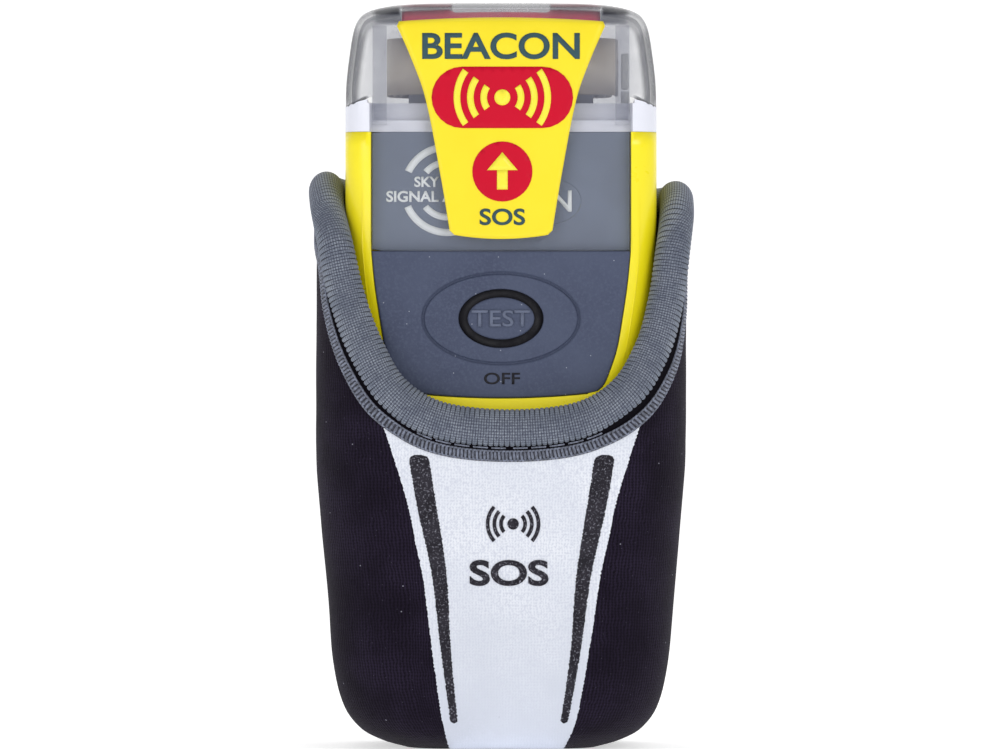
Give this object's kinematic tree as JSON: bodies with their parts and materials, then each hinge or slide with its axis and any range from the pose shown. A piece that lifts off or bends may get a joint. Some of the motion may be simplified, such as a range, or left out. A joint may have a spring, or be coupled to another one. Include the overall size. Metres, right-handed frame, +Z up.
{
  "type": "emergency position beacon",
  "caption": "Pocket emergency position beacon: yellow case, smoked clear slide-off cap, slate keypad and push buttons, in a padded black pouch with a belt loop.",
  "frame": {"origin": "middle of the pouch's flat underside, where it stands", "axes": "+Z up along the beacon, -Y towards the front with the keypad, +X to the viewer's right"},
  "size_m": [0.0582, 0.0513, 0.1124],
  "materials": {
    "neoprene": "jersey-faced neoprene, matt black",
    "knit_binding": "ribbed grey knit, matt",
    "webbing": "woven black webbing",
    "yellow_casing": "satin gloss yellow moulding",
    "white_moulding": "satin white moulding",
    "dark_panel": "satin dark grey",
    "slate_keypad": "matt slate silicone rubber",
    "smoked_clear": "smoked clear polycarbonate",
    "label": "printed yellow film",
    "antenna_grey": "satin grey moulding",
    "antenna_strip": "dull bronze spring strip",
    "red_tab": "satin red",
    "seal_rubber": "black rubber",
    "circuit_board": "green solder mask",
    "tinned_steel": "tinned",
    "patch_ceramic": "unglazed ceramic",
    "cell_sleeve": "shrink sleeve over a metal can",
    "inner_plastic": "black moulding",
    "screw_steel": "stainless steel",
    "led_lens": "clear epoxy"
  },
  "bodies": {
    "pouch": {"pouch_shell": "neoprene", "edge_binding": "knit_binding", "belt_loop": "webbing"},
    "beacon": {"front_case": "yellow_casing", "rear_case": "yellow_casing", "case_seal": "seal_rubber", "white_collar": "white_moulding", "upper_panel": "dark_panel", "keypad_panel": "slate_keypad", "test_switch": "tinned_steel", "on_switch": "tinned_steel", "antenna_head": "antenna_grey", "antenna_tape": "antenna_strip", "antenna_end_tab": "red_tab", "strobe_led": "led_lens", "strobe_lens": "led_lens", "status_led": "led_lens", "main_board": "circuit_board", "rf_shield": "tinned_steel", "oscillator_can": "tinned_steel", "gps_patch": "patch_ceramic", "antenna_feed_spring": "tinned_steel", "battery_tray": "inner_plastic", "battery_cell_left": "cell_sleeve", "battery_cell_right": "cell_sleeve", "cell_link": "tinned_steel", "cell_contact_left": "tinned_steel", "cell_contact_right": "tinned_steel", "case_screw_1": "screw_steel", "case_screw_2": "screw_steel", "case_screw_3": "screw_steel", "case_screw_4": "screw_steel"},
    "cap": {"clear_cap": "smoked_clear", "cap_label": "label"},
    "test_button": {"test_button": "slate_keypad", "test_plunger": "inner_plastic"},
    "on_button": {"on_button": "dark_panel", "on_plunger": "inner_plastic"}
  },
  "joints": [
    {"name": "beacon_slide", "type": "slide", "parent": "pouch", "child": "beacon", "axis": [0, 0, 1], "range_m": [0, 0.095]},
    {"name": "cap_slide", "type": "slide", "parent": "beacon", "child": "cap", "axis": [0, 0, 1], "range_m": [0, 0.045]},
    {"name": "test_press", "type": "slide", "parent": "beacon", "child": "test_button", "axis": [0, 1, 0], "range_m": [0, 0.0005], "stiffness_N_per_m": 1500},
    {"name": "on_press", "type": "slide", "parent": "beacon", "child": "on_button", "axis": [0, 1, 0], "range_m": [0, 0.0005], "stiffness_N_per_m": 1500}
  ]
}
